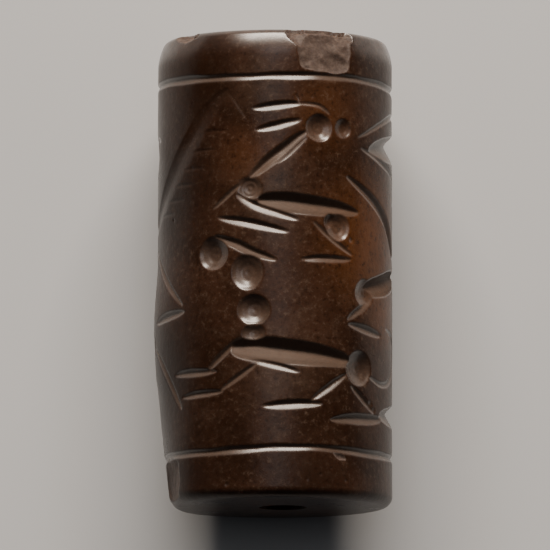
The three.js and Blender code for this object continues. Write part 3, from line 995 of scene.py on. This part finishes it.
class BlankTree:
    """The Geometry Nodes that turn the plain blank, in millimetres."""

    SIZES = ("Length", "Radius", "Rim Rounding", "Bore Mouth", "Bore Middle")
    COUNTS = ("Sides", "Side Rows", "Rim Rows", "End Rows", "Bore Rows")
    MERGE_DISTANCE = 0.001

    def __init__(self) -> None:
        """Builds both trees."""
        self.band = self.turned_band()
        self.tree = self.blank()

    @staticmethod
    def turned_band() -> bpy.types.NodeTree:
        """Builds the group that turns one band of the profile, straight or a quarter round.

        Returns:
            The group.
        """
        sizes = ("Start Radius", "End Radius", "Start Height", "End Height", "Round", "Phase")
        kinds = {"Int": ("Sides", "Rows"), "Float": sizes}
        tree = new_tree("Turned Band", kinds, "Band")
        graph = Graph(tree)
        given = graph.node("NodeGroupInput").outputs
        across, along = (graph.math("ADD", given[name], 1.0) for name in ("Sides", "Rows"))
        sizes = {"Size X": 1.0, "Size Y": 1.0, "Vertices X": across, "Vertices Y": along}
        grid = graph.node("GeometryNodeMeshGrid", sizes)
        place = graph.node("GeometryNodeInputPosition").outputs[0]
        split = graph.node("ShaderNodeSeparateXYZ", {0: place}).outputs
        turn = graph.math("MULTIPLY", split["X"], 2 * math.pi)
        share = graph.math("ADD", split["Y"], 0.5)
        quarter = graph.math("MULTIPLY", share, math.pi / 2)

        def eased(phase: Any) -> Any:
            """Bends the share into a quarter round that starts at a phase, where the band is round."""
            arc = graph.math("SINE", graph.math("ADD", quarter, phase))
            arc = graph.math("SUBTRACT", arc, graph.math("SINE", phase))
            bent = graph.math("MULTIPLY", graph.math("SUBTRACT", arc, share), given["Round"])
            return graph.math("ADD", share, bent)

        def between(start: str, end: str, part: Any) -> Any:
            """Goes from one input to another."""
            run = graph.math("SUBTRACT", given[end], given[start])
            return graph.math("MULTIPLY_ADD", run, part, given[start])

        other = graph.math("SUBTRACT", -math.pi / 2, given["Phase"])
        radius = between("Start Radius", "End Radius", eased(given["Phase"]))
        height = between("Start Height", "End Height", eased(other))
        x, z = (graph.math("MULTIPLY", radius, graph.math(way, turn)) for way in ("SINE", "COSINE"))
        position = graph.node("ShaderNodeCombineXYZ", {"X": x, "Y": height, "Z": z}).outputs[0]
        bent = graph.node("GeometryNodeSetPosition", {"Geometry": grid.outputs["Mesh"], "Position": position})
        graph.node("NodeGroupOutput", {"Band": bent.outputs[0]})
        return tree

    def blank(self) -> bpy.types.NodeTree:
        """Builds the tree that joins the bands into one closed blank.

        Returns:
            The tree.
        """
        kinds = {"Float": self.SIZES, "Int": self.COUNTS, "Material": ("Finish",)}
        tree = new_tree("Seal Blank", kinds, "Blank")
        graph = Graph(tree)
        given = graph.node("NodeGroupInput").outputs
        shoulder = graph.math("SUBTRACT", given["Radius"], given["Rim Rounding"])
        high = graph.math("SUBTRACT", given["Length"], given["Rim Rounding"])
        half = graph.math("MULTIPLY", given["Length"], 0.5)
        mouth, middle, radius = given["Bore Mouth"], given["Bore Middle"], given["Radius"]
        straight, fast, slow = (0.0, 0.0), (1.0, 0.0), (1.0, -math.pi / 2)
        bands = (
            ("End Rows", mouth, shoulder, 0.0, 0.0, straight),
            ("Rim Rows", shoulder, radius, 0.0, given["Rim Rounding"], fast),
            ("Side Rows", radius, radius, given["Rim Rounding"], high, straight),
            ("Rim Rows", radius, shoulder, high, given["Length"], slow),
            ("End Rows", shoulder, mouth, given["Length"], given["Length"], straight),
            ("Bore Rows", mouth, middle, given["Length"], half, straight),
            ("Bore Rows", middle, mouth, half, 0.0, straight),
        )
        joined = graph.node("GeometryNodeJoinGeometry")
        for rows, start, end, low, top, (is_round, phase) in bands:
            inputs = {
                "Sides": given["Sides"],
                "Rows": given[rows],
                "Start Radius": start,
                "End Radius": end,
                "Start Height": low,
                "End Height": top,
                "Round": is_round,
                "Phase": phase,
            }
            band = graph.node("GeometryNodeGroup", node_tree=self.band)
            for name, value in inputs.items():
                graph.feed(band.inputs[name], value)
            tree.links.new(band.outputs[0], joined.inputs[0])
        merged = graph.node(
            "GeometryNodeMergeByDistance", {"Geometry": joined.outputs[0], "Distance": self.MERGE_DISTANCE}
        )
        real = graph.node("GeometryNodeRealizeInstances", {"Geometry": merged.outputs[0]})
        finish = {"Geometry": real.outputs[0], "Material": given["Finish"]}
        dressed = graph.node("GeometryNodeSetMaterial", finish)
        graph.node("NodeGroupOutput", {"Blank": dressed.outputs[0]})
        return tree

    def turn(self, name: str, values: dict[str, Any]) -> bpy.types.Object:
        """Turns a blank.

        Args:
            name: the name of the new object.
            values: the tree's inputs, by name.

        Returns:
            The object, with a plain mesh.
        """
        piece = bpy.data.objects.new(name, bpy.data.meshes.new(name))
        bpy.context.scene.collection.objects.link(piece)
        modifier = piece.modifiers.new("Turned", "NODES")
        modifier.node_group = self.tree
        for item in self.tree.interface.items_tree:
            if item.in_out == "INPUT" and item.name in values:
                modifier[item.identifier] = values[item.name]
        settle(piece)
        return piece


def read(items: Any, name: str, width: int = 1, kind: type = np.float32) -> Array:
    """Reads one value, or several, of every item of a mesh.

    Args:
        items: the mesh's vertices, corners, faces or attribute data.
        name: what is read.
        width: how many numbers each item has.
        kind: what the numbers are.

    Returns:
        The numbers, in a row for each item where there are several.
    """
    values = np.empty(len(items) * width, kind)
    items.foreach_get(name, values)
    return values.reshape(-1, width) if width > 1 else values


def settle(piece: bpy.types.Object) -> None:
    """Turns an object's modifiers into plain mesh and removes them."""
    graph = bpy.context.evaluated_depsgraph_get()
    mesh = bpy.data.meshes.new_from_object(piece.evaluated_get(graph))
    old = piece.data
    piece.modifiers.clear()
    piece.data = mesh
    bpy.data.meshes.remove(old)
    mesh.name = piece.name


# ---- Finishes ----


class Tint(Enum):
    """The ways in which the stone's colour strays: the warm tint is its own, and the deep and grey tints are
    partly its own tone and partly painted shade and painted sheen.
    """

    WARM = "warm"
    GREY_AND_SHEEN = "grey"
    DEEP_AND_SHADE = "deep"


@dataclass(frozen=True)
class Patch:
    """A patch of tint, in millimetres from the middle of the seal: stray colour of the stone, and for the
    deep and grey tints also painted shade and painted sheen.
    """

    tint: Tint
    middle: tuple[float, float, float]
    reach: float
    strength: float


@dataclass(frozen=True)
class StoneFinish:
    """Dark brown polished stone: mottled, warm in patches, dull in its cuts and pale where broken, with
    painted shade on its left side, towards its bottom end and on its underside, and a painted sheen along its
    front line.

    Sizes, heights and depths are in millimetres, and the other roughnesses add to the polished stone's own.
    """

    # The deep colour is the stone's own dark tone in the mottling, and also the painted shade of the deep
    # patches.
    deep: Colour = (0.012, 0.0048, 0.0022, 1)
    brown: Colour = (0.037, 0.0160, 0.0085, 1)
    warm: Colour = (0.115, 0.039, 0.0095, 1)
    # The grey colour is the stone's own grey clouds, and also the painted sheen of the grey patches.
    grey: Colour = (0.060, 0.036, 0.024, 1)
    dull: Colour = (0.075, 0.047, 0.032, 1)
    worn: Colour = (0.052, 0.034, 0.027, 1)
    broken: Colour = (0.096, 0.068, 0.055, 1)
    mottle_size: float = 5.0
    cloud_size: float = 1.5
    swell_size: float = 1.7
    grain_size: float = 0.5
    granule_size: float = 0.42
    chatter_size: float = 0.3
    pore_size: float = 0.17
    swell_height: float = 0.03
    granule_height: float = 0.018
    chatter_height: float = 0.016
    scratch_depth: float = 0.0035
    grain_height: float = 0.0022
    broken_height: float = 0.05
    pore_depth: float = 0.006
    roughness: float = 0.27
    mottle_roughness: float = 0.06
    scratch_roughness: float = 0.12
    cut_roughness: float = 0.33
    broken_roughness: float = 0.25
    gloss: tuple[tuple[str, Any], ...] = (
        ("IOR", 1.54),
        ("Specular IOR Level", 0.18),
        ("Coat Roughness", 0.27),
        ("Subsurface Weight", 0.05),
        ("Subsurface Scale", MM),
        ("Subsurface Radius", (1.6, 0.6, 0.25)),
    )
    patches: tuple[Patch, ...] = (
        Patch(Tint.WARM, (7.5, 2.0, 4.5), 8.0, 0.75),
        Patch(Tint.WARM, (8.6, -3.2, 3.0), 4.5, 0.8),
        Patch(Tint.WARM, (3.5, 11.0, 8.0), 4.5, 0.3),
        Patch(Tint.WARM, (-6.5, 14.5, 5.5), 4.0, 0.2),
        Patch(Tint.WARM, (-2.0, 8.0, 8.0), 3.5, 0.25),
        Patch(Tint.WARM, (4.0, -9.0, -6.5), 6.0, 0.5),
        Patch(Tint.WARM, (-4.0, 7.0, -7.0), 6.0, 0.5),
        # Painted shade: these deep patches darken the left side, the lower end and the underside, over the
        # stone's own dark tone.
        Patch(Tint.DEEP_AND_SHADE, (-8.5, 6.0, 4.0), 8.5, 0.95),
        Patch(Tint.DEEP_AND_SHADE, (-8.5, -8.0, 4.0), 9.5, 1.0),
        Patch(Tint.DEEP_AND_SHADE, (-3.0, -13.0, 7.5), 5.5, 0.6),
        Patch(Tint.DEEP_AND_SHADE, (-6.5, 14.0, 6.5), 7.0, 0.9),
        Patch(Tint.DEEP_AND_SHADE, (-6.0, -15.5, 6.0), 6.0, 0.85),
        Patch(Tint.DEEP_AND_SHADE, (2.5, -16.5, 8.0), 6.0, 0.7),
        Patch(Tint.DEEP_AND_SHADE, (5.5, -14.0, 6.0), 5.0, 0.45),
        Patch(Tint.DEEP_AND_SHADE, (2.0, -3.0, -8.5), 8.0, 0.5),
        # Painted sheen: these grey patches lie along the front line, where the overhead light's reflection
        # falls.
        Patch(Tint.GREY_AND_SHEEN, (-0.5, 5.0, 8.6), 4.0, 0.45),
        Patch(Tint.GREY_AND_SHEEN, (0.5, -8.0, 8.6), 4.5, 0.5),
        Patch(Tint.GREY_AND_SHEEN, (-1.5, 13.5, 8.4), 3.5, 0.4),
    )

    def material(self, axis_height: float) -> bpy.types.Material:
        """Makes the material.

        Args:
            axis_height: how high the seal's axis lies, in millimetres.

        Returns:
            The material.
        """
        made = bpy.data.materials.new("polished_stone")
        made.use_nodes = True
        graph = Graph(made.node_tree)
        shader = made.node_tree.nodes["Principled BSDF"]
        place = graph.node("ShaderNodeTexCoord").outputs["Object"]
        marks = {
            name: graph.node("ShaderNodeAttribute", attribute_name=name).outputs["Fac"]
            for name in ("cut", "edge", "broken", "rubbed")
        }
        mottle = graph.noise(place, self.mottle_size, 5.0, Roughness=0.62, Distortion=0.6)
        clouds = graph.noise(place, self.cloud_size, 5.0, Roughness=0.7, Distortion=0.5)
        granules = graph.noise(place, self.granule_size, 4.0, Roughness=0.75)
        pores = graph.noise(place, self.pore_size, 3.0, Roughness=0.7)
        colour = graph.mix(graph.step(mottle, 0.36, 0.64, 0.35, 1.0), self.deep, self.brown)
        colour = graph.mix(graph.step(clouds, 0.5, 0.72, 0.0, 0.4), colour, self.grey)
        colour = graph.mix(graph.step(granules, 0.52, 0.7, 0.0, 0.75), colour, self.dull)
        patchy = graph.step(clouds, 0.2, 0.6, 0.6, 1.0)
        # The deep and grey patches lay painted shade and painted sheen; the warm patches are the stone's own
        # colour.
        for tint in Tint:
            share = graph.math("MULTIPLY", self.strays(graph, tint, place, axis_height), patchy)
            colour = graph.mix(share, colour, getattr(self, tint.value))
        colour = graph.mix(graph.step(granules, 0.48, 0.32, 0.0, 0.7), colour, self.deep)
        colour = graph.mix(graph.step(marks["cut"], 0.0, 0.9, 0.0, 0.65), colour, self.dull)
        colour = graph.mix(graph.math("MULTIPLY", marks["edge"], 0.06), colour, self.worn)
        grain = graph.noise(place, self.grain_size, 4.0, Roughness=0.7)
        pale = graph.mix(graph.step(grain, 0.35, 0.7), self.worn, self.broken)
        colour = graph.mix(marks["broken"], colour, pale)
        graph.feed(shader.inputs["Base Color"], colour)

        streaks = self.scratches(graph, place)
        dulled = (
            (graph.step(mottle, 0.3, 0.7), self.mottle_roughness),
            (streaks, self.scratch_roughness),
            (marks["cut"], self.cut_roughness),
            (marks["broken"], self.broken_roughness),
        )
        graph.feed(shader.inputs["Roughness"], graph.added(self.roughness, dulled))

        swell = graph.math("MULTIPLY", graph.noise(place, self.swell_size, 2.0), self.swell_height)
        chatter = graph.math("MULTIPLY", marks["cut"], graph.noise(place, self.chatter_size, 2.0))
        coarse = graph.math("MULTIPLY_ADD", marks["broken"], self.broken_height, self.grain_height)
        raised = (
            (granules, self.granule_height),
            (chatter, self.chatter_height),
            (streaks, -self.scratch_depth),
            (grain, coarse),
            (graph.step(pores, 0.34, 0.2), -self.pore_depth),
        )
        height = graph.added(swell, raised)
        bumped = graph.node("ShaderNodeBump", {"Height": height, "Distance": MM, "Strength": 1.0})
        graph.feed(shader.inputs["Normal"], bumped.outputs[0])

        tooled, matt = graph.step(marks["cut"], 0.0, 0.45), graph.step(marks["cut"], 0.95, 0.6)
        satin = graph.math("MULTIPLY", tooled, matt)
        glaze = graph.math("MULTIPLY", marks["rubbed"], graph.step(clouds, 0.3, 0.55, 0.55, 1.0))
        graph.feed(shader.inputs["Coat Weight"], graph.math("MAXIMUM", satin, glaze))
        for name, value in self.gloss:
            shader.inputs[name].default_value = value
        return made

    def strays(self, graph: Graph, tint: Tint, place: Any, axis_height: float) -> Any:
        """Finds how far the stone's colour strays one way, which for the deep and grey tints is also painted
        shade and painted sheen.

        Args:
            graph: the material's nodes.
            tint: the way that it strays.
            place: the object's coordinates.
            axis_height: how high the seal's axis lies, in millimetres.

        Returns:
            The share of the tint, from 0 to 1.
        """
        found: Any = 0.0
        for patch in self.patches:
            if patch.tint is not tint:
                continue
            x, y, z = patch.middle
            middle = (x * MM, y * MM, (z + axis_height) * MM)
            off = graph.node("ShaderNodeVectorMath", {0: place, 1: middle}, operation="DISTANCE")
            near = graph.step(off.outputs["Value"], patch.reach * MM, 0.0, 0.0, patch.strength)
            found = graph.math("MAXIMUM", near, found)
        return found

    @staticmethod
    def scratches(graph: Graph, place: Any) -> Any:
        """Draws the fine scratches that handling left.

        Args:
            graph: the material's nodes.
            place: the object's coordinates.

        Returns:
            1 on a scratch and 0 off it.
        """
        found: Any = 0.0
        for turn, size in (((0, 0, 38), 0.12), ((10, 0, 52), 0.14), ((0, 20, -40), 0.12)):
            lines = graph.noise(graph.mapped(place, turn, (1.0, 0.08, 1.0)), size, 1.0)
            found = graph.math("MAXIMUM", graph.step(lines, 0.7, 0.78), found)
        sparse = graph.step(graph.noise(place, 2.4, 2.0), 0.5, 0.66)
        return graph.math("MULTIPLY", found, sparse)


@dataclass(frozen=True)
class FloorFinish:
    """A plain pale table top."""

    colour: Colour = (0.50, 0.512, 0.525, 1)
    shade: Colour = (0.48, 0.492, 0.505, 1)
    roughness: float = 0.7

    def material(self) -> bpy.types.Material:
        """Makes the material."""
        made = bpy.data.materials.new("pale_table")
        made.use_nodes = True
        graph = Graph(made.node_tree)
        shader = made.node_tree.nodes["Principled BSDF"]
        place = graph.node("ShaderNodeTexCoord").outputs["Object"]
        clouds = graph.step(graph.noise(place, 60.0, 3.0), 0.3, 0.7)
        graph.feed(shader.inputs["Base Color"], graph.mix(clouds, self.colour, self.shade))
        shader.inputs["Roughness"].default_value = self.roughness
        return made


# ---- The seal ----


class Zone(Enum):
    """The parts of the blank's surface."""

    SIDE = 0
    RIM = 1
    END = 2
    BORE = 3


@dataclass
class CylinderSeal:
    """The seal: a bored barrel of stone with a frieze cut into its side.

    The stone looks wholly broken where a flake went deeper than the second of the broken depths, and wholly
    rubbed above the second of the rubbed heights, and not at all before the first of each.
    """

    stone: Stone = field(default_factory=Stone)
    finish: StoneFinish = field(default_factory=StoneFinish)
    figures: tuple[Figure, ...] = (
        FRONT_GOAT,
        BACK_GOAT,
        FRONT_BEAST,
        BACK_BEAST,
        FAWN,
        WINGED_FIGURE,
        EYE,
        SPINDLE,
    )
    lines: tuple[BorderLine, ...] = BORDER_LINES
    nicks: tuple[Cut, ...] = NICKS
    flakes: tuple[Flake, ...] = FLAKES
    sides: int = 800
    side_rows: int = 470
    rim_rows: int = 14
    end_rows: int = 70
    bore_rows: int = 24
    most_triangles: int = 188_000
    near: float = 1e-3
    broken: tuple[float, float] = (0.01, 0.06)
    rubbed: tuple[float, float] = (32.6, 33.9)

    def build(self) -> bpy.types.Object:
        """Builds and dresses the seal.

        Returns:
            The finished piece.
        """
        piece = BlankTree().turn("seal", self.blank_values(self.finish.material(self.stone.axis_height)))
        relief = self.carved()
        self.shape(piece.data, relief)
        self.thin(piece)
        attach(piece, "root")
        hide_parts("seal_body")
        return piece

    def blank_values(self, finish: bpy.types.Material) -> dict[str, Any]:
        """Gives the blank's inputs.

        Args:
            finish: the material that it wears.

        Returns:
            The inputs, by name.
        """
        stone = self.stone
        sizes = (stone.length, stone.radius, stone.rim, stone.bore_mouth, stone.bore_middle)
        counts = (self.sides, self.side_rows, self.rim_rows, self.end_rows, self.bore_rows)
        return {**dict(zip(BlankTree.SIZES + BlankTree.COUNTS, sizes + counts)), "Finish": finish}

    def carved(self) -> Relief:
        """Cuts the frieze.

        Returns:
            The relief of the side.
        """
        relief = Relief(self.stone)
        count = 0
        for figure in self.figures:
            for cut in figure.cuts():
                relief.sink(cut)
                count += 1
        for line in self.lines:
            relief.score(line)
        for nick in self.nicks:
            relief.sink(nick)
        relief.polish()
        log.info("carved %d cuts, up to %.2f mm deep", count, relief.depth.max())
        return relief

    def zones(self, reach: Array, up: Array) -> Array:
        """Tells which part of the blank each vertex is on.

        Args:
            reach: distances from the axis.
            up: heights above the bottom end.

        Returns:
            The number of each one's Zone.
        """
        stone, near = self.stone, self.near
        at_end = (up < near) | (up > stone.length - near)
        near_end = (up < stone.rim - near) | (up > stone.length - stone.rim + near)
        zone = np.full(len(up), Zone.SIDE.value)
        zone[near_end] = Zone.RIM.value
        zone[at_end & (reach < stone.radius - stone.rim + near)] = Zone.END.value
        zone[reach < stone.bore_mouth + near] = Zone.BORE.value
        return zone

    def shape(self, mesh: bpy.types.Mesh, relief: Relief) -> None:
        """Gives the blank its out-of-round form, its carving and its wear, in metres.

        Args:
            mesh: the blank's mesh.
            relief: the carving.
        """
        stone = self.stone
        x, up, z = read(mesh.vertices, "co", 3).astype(float).T
        reach, angle = np.hypot(x, z), np.arctan2(x, z)
        around = angle * stone.radius
        zone = self.zones(reach, up)
        out = np.stack([np.sin(angle), np.zeros(len(up)), np.cos(angle)], 1)
        level = np.array([0.0, 1.0, 0.0])
        is_side, is_rim, is_end, is_bore = (zone == kind.value for kind in Zone)

        is_top = up > stone.length / 2
        near_end = np.where(is_top, stone.length - up, up)
        rounded = np.clip((stone.rim - near_end) / stone.rim, 0, 1)
        tilt = np.where(is_rim, rounded, np.where(is_end, 1.0, 0.0))
        reach, up, tilt = self.draw_top_rim(reach, up, tilt, is_rim & is_top, is_end & is_top)
        tilt *= np.where(is_top, 1.0, -1.0)
        normals = out * np.sqrt(1 - tilt**2)[:, None] + level * tilt[:, None]

        radius = stone.radius_at(angle, up)
        scaled = reach * radius / stone.radius
        scaled += self.waviness(angle, up) * (is_side | is_rim)
        depth = np.where(is_side, relief.sample(relief.depth, around, up), 0.0)
        height = scaled - depth - radius
        points = out * (scaled - depth)[:, None] + level * up[:, None]

        shift = stone.bore_shift(up)[:, None] * np.array([1.0, 0.0, 0.0])
        ring = out * stone.bore_mouth + level * up[:, None] + shift
        rim = np.where(is_top, stone.top_rim, stone.rim)
        share = np.clip((reach - stone.bore_mouth) / (stone.radius - rim - stone.bore_mouth), 0, 1)
        points = np.where(is_end[:, None], ring + (points - ring) * share[:, None], points)
        points = np.where(is_bore[:, None], out * reach[:, None] + level * up[:, None] + shift, points)

        sunk = np.zeros(len(up))
        local = np.stack([around, up, height], 1)
        for flake in self.flakes:
            sunk = np.maximum(sunk, np.where(is_bore, 0.0, flake.bite(local, tilt)))
        points -= normals * sunk[:, None]

        points[:, 1] -= stone.length / 2
        points[:, 2] = np.maximum(points[:, 2] + stone.axis_height, 0.0)
        mesh.vertices.foreach_set("co", (points * MM).astype(np.float32).ravel())
        mesh.update()

        on_side = is_side.astype(float)
        at_mouth = is_bore & (near_end < self.near)
        tooled = relief.sample(relief.cut, around, up) * on_side
        marks = {
            "cut": np.where(is_bore & ~at_mouth, 1.0, tooled),
            "edge": relief.sample(relief.edge, around, up) * on_side,
            "broken": smooth_step(sunk, *self.broken),
            "rubbed": smooth_step(up, *self.rubbed) * smooth_step(sunk, 0.02, 0.0),
            "mouth": at_mouth,
        }
        for name, values in marks.items():
            mesh.attributes.new(name, "FLOAT", "POINT").data.foreach_set("value", values.astype(np.float32))
        fine = mesh.attributes.new("fine_normal", "FLOAT_VECTOR", "POINT")
        fine.data.foreach_set("vector", read(mesh.vertex_normals, "vector", 3).ravel())

    def draw_top_rim(
        self, reach: Array, up: Array, tilt: Array, is_rim: Array, is_end: Array
    ) -> tuple[Array, Array, Array]:
        """Draws the blank's top rim, which is like its bottom one, out into a smaller round.

        Args:
            reach: distances from the axis.
            up: heights above the bottom end.
            tilt: the sine of the surface's slope towards the nearer end.
            is_rim: what is on the top rim.
            is_end: what is on the top end's face.

        Returns:
            The new reach, heights and tilt.
        """
        stone, straight = self.stone, 0.5
        share = np.clip(np.arcsin(tilt) / (math.pi / 2), 0, 1)
        late = np.clip((share - straight) / (1 - straight), 0, 1) * math.pi / 2
        drawn_up = stone.length - stone.top_rim * (1 - np.sin(late))
        early = stone.length - stone.rim + (stone.rim - stone.top_rim) * np.clip(share / straight, 0, 1)
        up = np.where(is_rim, np.where(share < straight, early, drawn_up), up)
        reach = np.where(is_rim, stone.radius - stone.top_rim * (1 - np.cos(late)), reach)
        tilt = np.where(is_rim, np.sin(late), tilt)
        inner = stone.radius - stone.rim
        wider = (stone.radius - stone.top_rim - stone.bore_mouth) / (inner - stone.bore_mouth)
        reach = np.where(is_end, stone.bore_mouth + (reach - stone.bore_mouth) * wider, reach)
        return reach, up, tilt

    @staticmethod
    def waviness(angle: Array, up: Array) -> Array:
        """The slight unevenness of a side that was ground by hand, in millimetres."""
        wave = 0.010 * np.sin(5 * angle + 0.31 * up + 1.0) + 0.008 * np.sin(9 * angle - 0.52 * up)
        return wave + 0.005 * np.sin(17 * angle + 1.15 * up + 2.0) * np.cos(0.83 * up)

    def thin(self, piece: bpy.types.Object) -> None:
        """Thins the mesh where it is smooth, and keeps the smooth surface's own normals.

        Args:
            piece: the seal.
        """
        triangles = 2 * len(piece.data.polygons)  # the blank is all quads
        modifier = piece.modifiers.new("Thin", "DECIMATE")
        modifier.ratio = self.most_triangles / triangles
        settle(piece)
        mesh = piece.data
        normals = read(mesh.attributes["fine_normal"].data, "vector", 3)
        normals /= np.maximum(np.linalg.norm(normals, axis=1, keepdims=True), 1e-9)
        mesh.shade_smooth()
        mesh.normals_split_custom_set(self.creased(mesh, normals))
        mesh.attributes.remove(mesh.attributes["fine_normal"])
        log.info("thinned %d triangles to %d", triangles, len(mesh.polygons))

    @staticmethod
    def creased(mesh: bpy.types.Mesh, normals: Array) -> Array:
        """Gives every face corner its normal, with a crease round the bore's two mouths.

        Args:
            mesh: the seal's mesh, which marks the mouths.
            normals: the smooth normal of each vertex.

        Returns:
            The normal of each face corner.
        """
        mouth = read(mesh.attributes["mouth"].data, "value")
        vertex = read(mesh.loops, "vertex_index", kind=np.int32)
        sizes = read(mesh.polygons, "loop_total", kind=np.int32)
        facing = np.repeat(read(mesh.polygons, "normal", 3), sizes, axis=0)
        return np.where((mouth[vertex] > 0.5)[:, None], facing, normals[vertex])


# ---- The studio ----


@dataclass(frozen=True)
class Panel:
    """A soft light: a flat panel that faces the seal."""

    name: str
    elevation: float
    azimuth: float
    distance: float
    width: float
    height: float
    radiance: float
    tint: tuple[float, float, float] = (1.0, 1.0, 1.0)

    def hang(self, target: Vector) -> bpy.types.Object:
        """Hangs the panel.

        Args:
            target: what it faces.

        Returns:
            The light.
        """
        lamp = bpy.data.lights.new(self.name, "AREA")
        lamp.shape = "RECTANGLE"
        lamp.size, lamp.size_y = self.width, self.height
        lamp.energy = self.radiance * math.pi * self.width * self.height
        lamp.color = self.tint
        light = bpy.data.objects.new(self.name, lamp)
        bpy.context.scene.collection.objects.link(light)
        rise, turn = math.radians(self.elevation), math.radians(self.azimuth)
        away = Vector((math.sin(turn) * math.cos(rise), math.cos(turn) * math.cos(rise), math.sin(rise)))
        light.location = target + away * self.distance
        light.rotation_mode = "QUATERNION"
        light.rotation_quaternion = (-away).to_track_quat("-Z", "Y")
        light.visible_camera = False
        return light


@dataclass(frozen=True)
class Studio:
    """The pale table, the soft lights and the camera above the seal."""

    floor: FloorFinish = FloorFinish()
    floor_size: float = 3.0
    world: Colour = (0.03, 0.03, 0.032, 1)
    panels: tuple[Panel, ...] = (
        Panel("key", 31, 0, 0.6, 0.5, 0.15, 40.0, (1.0, 0.88, 0.76)),
        Panel("overhead", 76, 2, 1.5, 0.7, 0.8, 1.7, (0.97, 0.98, 1.0)),
    )
    elevation: float = 83.5
    distance: float = 0.95
    view_height: float = 0.0412
    sensor: float = 36.0

    def build(self, middle: Vector) -> None:
        """Lays the floor, hangs the lights and places the camera.

        Args:
            middle: the middle of the seal.
        """
        self.lay_floor()
        for panel in self.panels:
            panel.hang(middle)
        world = bpy.data.worlds.new("studio")
        bpy.context.scene.world = world
        world.use_nodes = True
        world.node_tree.nodes["Background"].inputs["Color"].default_value = self.world
        self.place_camera(middle)

    def lay_floor(self) -> None:
        """Lays the pale table top."""
        half = self.floor_size / 2
        mesh = bpy.data.meshes.new("table")
        ring = [(-half, -half, 0), (half, -half, 0), (half, half, 0), (-half, half, 0)]
        mesh.from_pydata(ring, [], [(0, 1, 2, 3)])
        mesh.materials.append(self.floor.material())
        table = bpy.data.objects.new("table", mesh)
        bpy.context.scene.collection.objects.link(table)

    def place_camera(self, middle: Vector) -> None:
        """Places the camera, which looks down on the seal.

        Args:
            middle: the middle of the seal.
        """
        lens = bpy.data.cameras.new("camera")
        lens.sensor_width = self.sensor
        lens.lens = self.sensor * self.distance / self.view_height
        lens.clip_start, lens.clip_end = 0.01, 10.0
        camera = bpy.data.objects.new("camera", lens)
        bpy.context.scene.collection.objects.link(camera)
        rise = math.radians(self.elevation)
        back = Vector((0, -math.cos(rise), math.sin(rise)))
        camera.location = middle + back * self.distance
        camera.rotation_mode = "QUATERNION"
        camera.rotation_quaternion = (-back).to_track_quat("-Z", "Y")
        bpy.context.scene.camera = camera


def main() -> None:
    """Builds the scene and reports each piece."""
    logging.basicConfig(level=logging.INFO, format="%(name)s: %(message)s")
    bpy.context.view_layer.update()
    seal = CylinderSeal()
    piece = seal.build()
    log.info("%s: %d vertices", piece.name, len(piece.data.vertices))
    Studio().build(Vector((0, 0, seal.stone.axis_height * MM)))


if __name__ == "__main__":
    main()
